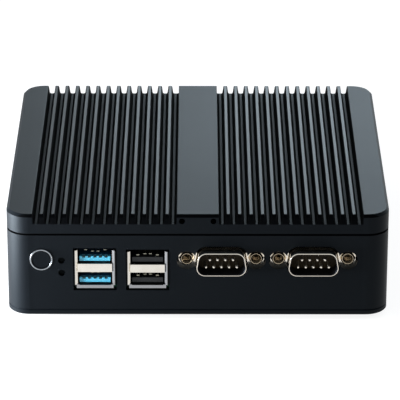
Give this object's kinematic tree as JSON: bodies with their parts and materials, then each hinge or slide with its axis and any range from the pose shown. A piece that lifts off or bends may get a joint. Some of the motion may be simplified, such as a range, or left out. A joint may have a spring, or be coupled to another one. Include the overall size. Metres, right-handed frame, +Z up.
{
  "type": "fanless industrial computer",
  "caption": "Small fanless computer in a dark metal case: finned top, power button, stacked sockets and serial ports in front, video, network and power sockets behind.",
  "frame": {"origin": "on the surface that the feet stand on, below the middle of the case", "axes": "+Z up, +X to the right as seen from the front, +Y from the front panel to the rear panel"},
  "size_m": [0.138, 0.138, 0.0414],
  "materials": {
    "case_finish": "satin black anodised",
    "bare_aluminium": "machined",
    "plated_steel": "bright nickel plated",
    "nut_steel": "bright plated",
    "polished_ring": "polished",
    "zinc_screw": "black zinc",
    "contact_gold": "gold plated",
    "blue_plastic": "moulded",
    "black_plastic": "moulded",
    "brown_plastic": "moulded",
    "monitor_blue": "moulded",
    "light_plastic": "smoked",
    "rubber_foot": "soft matt",
    "circuit_board": "solder mask",
    "chip_black": "moulded package",
    "heat_pad": "soft",
    "cell_steel": "satin"
  },
  "bodies": {
    "case": {"heatsink_cover": "case_finish", "case_frame": "case_finish", "bottom_cover": "case_finish", "bottom_cover_screws": "zinc_screw", "heatsink_cover_screws": "zinc_screw", "bracket_bushes": "plated_steel", "rubber_foot_front_left": "rubber_foot", "rubber_foot_front_right": "rubber_foot", "rubber_foot_rear_left": "rubber_foot", "rubber_foot_rear_right": "rubber_foot", "power_button_ring": "polished_ring", "power_switch_body": "black_plastic", "button_board": "circuit_board", "power_light": "light_plastic", "drive_light": "light_plastic", "blue_socket_shell": "plated_steel", "blue_socket_tongues": "blue_plastic", "blue_socket_contacts": "contact_gold", "black_socket_shell": "plated_steel", "black_socket_tongues": "black_plastic", "black_socket_contacts": "contact_gold", "serial_left_shell": "plated_steel", "serial_left_insulator": "brown_plastic", "serial_left_pins": "plated_steel", "serial_left_nuts": "nut_steel", "serial_right_shell": "plated_steel", "serial_right_insulator": "brown_plastic", "serial_right_pins": "plated_steel", "serial_right_nuts": "nut_steel", "serial_board": "circuit_board", "serial_board_socket": "black_plastic", "monitor_port_shell": "plated_steel", "monitor_port_insulator": "monitor_blue", "monitor_port_nuts": "nut_steel", "video_port_shell": "plated_steel", "video_port_tongue": "black_plastic", "network_left_shell": "plated_steel", "network_left_insulator": "black_plastic", "network_left_contacts": "contact_gold", "network_right_shell": "plated_steel", "network_right_insulator": "black_plastic", "network_right_contacts": "contact_gold", "power_inlet_body": "black_plastic", "power_inlet_pin": "plated_steel", "antenna_hole_plugs": "black_plastic", "mainboard": "circuit_board", "mainboard_screws": "plated_steel", "processor": "chip_black", "thermal_pad": "heat_pad", "heat_spreader": "bare_aluminium", "heat_spreader_screws": "plated_steel", "memory_socket": "black_plastic", "memory_module": "circuit_board", "storage_socket": "black_plastic", "storage_module": "circuit_board", "storage_screws": "plated_steel", "coin_cell_holder": "black_plastic", "coin_cell": "cell_steel"},
    "power_button": {"power_button_cap": "case_finish", "power_switch_stem": "black_plastic"}
  },
  "joints": [
    {"name": "power_button_press", "type": "slide", "parent": "case", "child": "power_button", "axis": [0, 1, 0], "range_m": [0, 0.0008], "stiffness_N_per_m": 1500}
  ]
}
